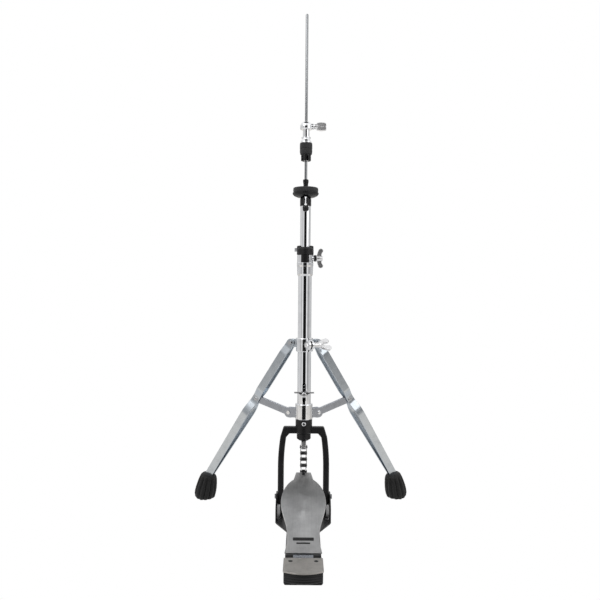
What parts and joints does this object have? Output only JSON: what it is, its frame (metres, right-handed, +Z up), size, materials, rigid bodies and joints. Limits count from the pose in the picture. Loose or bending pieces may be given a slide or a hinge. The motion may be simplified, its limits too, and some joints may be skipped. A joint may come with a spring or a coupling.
{
  "type": "hi-hat stand",
  "caption": "Folding hi-hat cymbal stand with two double-braced legs, a height-adjustable column, a pull rod with clutch and a chain-driven footboard; no cymbals.",
  "frame": {"origin": "on the floor, on the axis of the column", "axes": "+Z up along the column, -Y towards the player and the heel of the footboard, +X to the right seen by the player"},
  "size_m": [0.4996, 0.4865, 1.081],
  "materials": {
    "chrome": "polished",
    "zinc": "satin plated",
    "brushed": "brushed",
    "black_coat": "satin black powder coat",
    "rubber": "matte",
    "black_plastic": "matte black",
    "felt": "pressed felt",
    "steel": "plain steel",
    "heel_cap": "brushed, warm"
  },
  "bodies": {
    "stand": {"floor_mat": "rubber", "base_plate": "black_coat", "side_clips": "chrome", "heel_block": "black_plastic", "heel_plate": "heel_cap", "heel_screws": "steel", "hinge_blocks": "black_coat", "hinge_pin": "steel", "pedal_yoke": "black_coat", "yoke_bolts": "steel", "yoke_screw": "steel", "rod_guide": "black_plastic", "lower_tube": "chrome", "lower_leg_collar": "chrome", "brace_pins": "chrome", "tube_clamp": "chrome", "clamp_insert": "black_plastic", "tube_bushing": "black_plastic", "clamp_stud": "steel"},
    "height_nut": {"height_wing_nut": "chrome"},
    "spring_adjuster": {"spring_carrier": "black_plastic"},
    "spring_screw": {"spring_wing_screw": "chrome"},
    "upper_column": {"upper_tube": "chrome", "seat_base": "black_plastic", "seat_sleeve": "black_plastic", "seat_hinge_pin": "steel"},
    "tilt_adjuster": {"tilt_screw": "chrome", "tilt_knob": "black_plastic"},
    "cymbal_seat": {"seat_cup": "black_plastic", "seat_felt": "felt"},
    "height_lock": {"memory_lock": "black_coat", "lock_screw": "steel"},
    "pull_rod": {"upper_pull_rod": "chrome", "rod_coupler": "steel", "lower_pull_rod": "steel", "spring_retainer": "steel", "return_spring": "steel", "chain_clevis": "steel", "clevis_pin": "steel"},
    "clutch": {"clutch_body": "chrome", "clutch_tube": "chrome", "clutch_top_nut": "chrome", "clutch_felts": "felt", "clutch_bottom_nut": "black_plastic"},
    "clutch_screw": {"clutch_wing_screw": "chrome"},
    "chain": {"chain_outer_plates": "black_coat", "chain_inner_plates": "black_coat", "chain_rollers": "black_coat"},
    "pedal": {"footboard": "brushed", "footboard_barrel": "steel", "chain_anchor": "black_coat"},
    "leg_slider": {"upper_leg_collar": "chrome", "leg_pivots": "chrome"},
    "leg_bolt": {"leg_wing_bolt": "chrome"},
    "left_leg": {"left_leg_bars": "zinc", "left_foot": "rubber"},
    "right_leg": {"right_leg_bars": "zinc", "right_foot": "rubber"},
    "left_strut": {"left_brace": "zinc"},
    "right_strut": {"right_brace": "zinc"}
  },
  "joints": [
    {"name": "pedal_hinge", "type": "hinge", "parent": "stand", "child": "pedal", "pos_m": [0, -0.254, 0.019], "axis": [-1, 0, 0], "range_deg": [0, 8.4]},
    {"name": "rod_slide", "type": "slide", "parent": "stand", "child": "pull_rod", "axis": [0, 0, -1], "range_m": [0, 0.03504], "stiffness_N_per_m": 450, "springref_m": -0.03, "deforming": ["return_spring"]},
    {"name": "chain_swing", "type": "hinge", "parent": "pull_rod", "child": "chain", "pos_m": [0, 0, 0.15039], "axis": [1, 0, 0], "range_deg": [0, 10.77]},
    {"name": "height_slide", "type": "slide", "parent": "stand", "child": "upper_column", "axis": [0, 0, 1], "range_m": [0, 0.12]},
    {"name": "clutch_slide", "type": "slide", "parent": "pull_rod", "child": "clutch", "axis": [0, 0, 1], "range_m": [0, 0.12]},
    {"name": "clutch_screw_turn", "type": "hinge", "parent": "clutch", "child": "clutch_screw", "pos_m": [0.02, 0, 0.839], "axis": [1, 0, 0], "continuous": true},
    {"name": "lock_slide", "type": "slide", "parent": "upper_column", "child": "height_lock", "axis": [0, 0, 1], "range_m": [0, 0.06]},
    {"name": "tilt_screw_lift", "type": "slide", "parent": "upper_column", "child": "tilt_adjuster", "axis": [0, 0, 1], "range_m": [0, 0.00296]},
    {"name": "seat_tilt", "type": "hinge", "parent": "upper_column", "child": "cymbal_seat", "pos_m": [0, 0.016, 0.679], "axis": [-1, 0, 0], "range_deg": [0, 5.05]},
    {"name": "height_nut_turn", "type": "hinge", "parent": "stand", "child": "height_nut", "pos_m": [0.03, 0, 0.556], "axis": [1, 0, 0], "continuous": true},
    {"name": "spring_adjust", "type": "slide", "parent": "stand", "child": "spring_adjuster", "axis": [0, 0, 1], "range_m": [-0.008, 0]},
    {"name": "spring_screw_turn", "type": "hinge", "parent": "spring_adjuster", "child": "spring_screw", "pos_m": [0, -0.02, 0.266], "axis": [0, -1, 0], "continuous": true},
    {"name": "leg_slide", "type": "slide", "parent": "stand", "child": "leg_slider", "axis": [0, 0, 1], "range_m": [0, 0.07883]},
    {"name": "leg_bolt_turn", "type": "hinge", "parent": "leg_slider", "child": "leg_bolt", "pos_m": [0.0125, -0.02165, 0.371], "axis": [0.866, 0.5, 0], "continuous": true},
    {"name": "left_leg_hinge", "type": "hinge", "parent": "leg_slider", "child": "left_leg", "pos_m": [-0.02825, 0.01502, 0.373], "axis": [-0.4695, -0.8829, 0], "range_deg": [0, 19.86]},
    {"name": "left_strut_hinge", "type": "hinge", "parent": "stand", "child": "left_strut", "pos_m": [-0.0309, 0.01643, 0.222], "axis": [0.4695, 0.8829, 0], "range_deg": [0, 51.69]},
    {"name": "right_leg_hinge", "type": "hinge", "parent": "leg_slider", "child": "right_leg", "pos_m": [0.02714, 0.01696, 0.373], "axis": [-0.5299, 0.848, 0], "range_deg": [0, 19.86]},
    {"name": "right_strut_hinge", "type": "hinge", "parent": "stand", "child": "right_strut", "pos_m": [0.02968, 0.01855, 0.222], "axis": [0.5299, -0.848, 0], "range_deg": [0, 51.69]}
  ],
  "couplings": [
    {"joint": "rod_slide", "follows": "pedal_hinge", "m_per_rad": 0.23765},
    {"joint": "chain_swing", "follows": "pedal_hinge", "ratio": 1.2761},
    {"joint": "clutch_slide", "follows": "height_slide", "ratio": 1},
    {"joint": "seat_tilt", "follows": "tilt_screw_lift", "rad_per_m": 29.482},
    {"joint": "left_leg_hinge", "follows": "leg_slide", "rad_per_m": 4.3935},
    {"joint": "left_strut_hinge", "follows": "leg_slide", "rad_per_m": 11.433},
    {"joint": "right_leg_hinge", "follows": "leg_slide", "rad_per_m": 4.3935},
    {"joint": "right_strut_hinge", "follows": "leg_slide", "rad_per_m": 11.433}
  ]
}
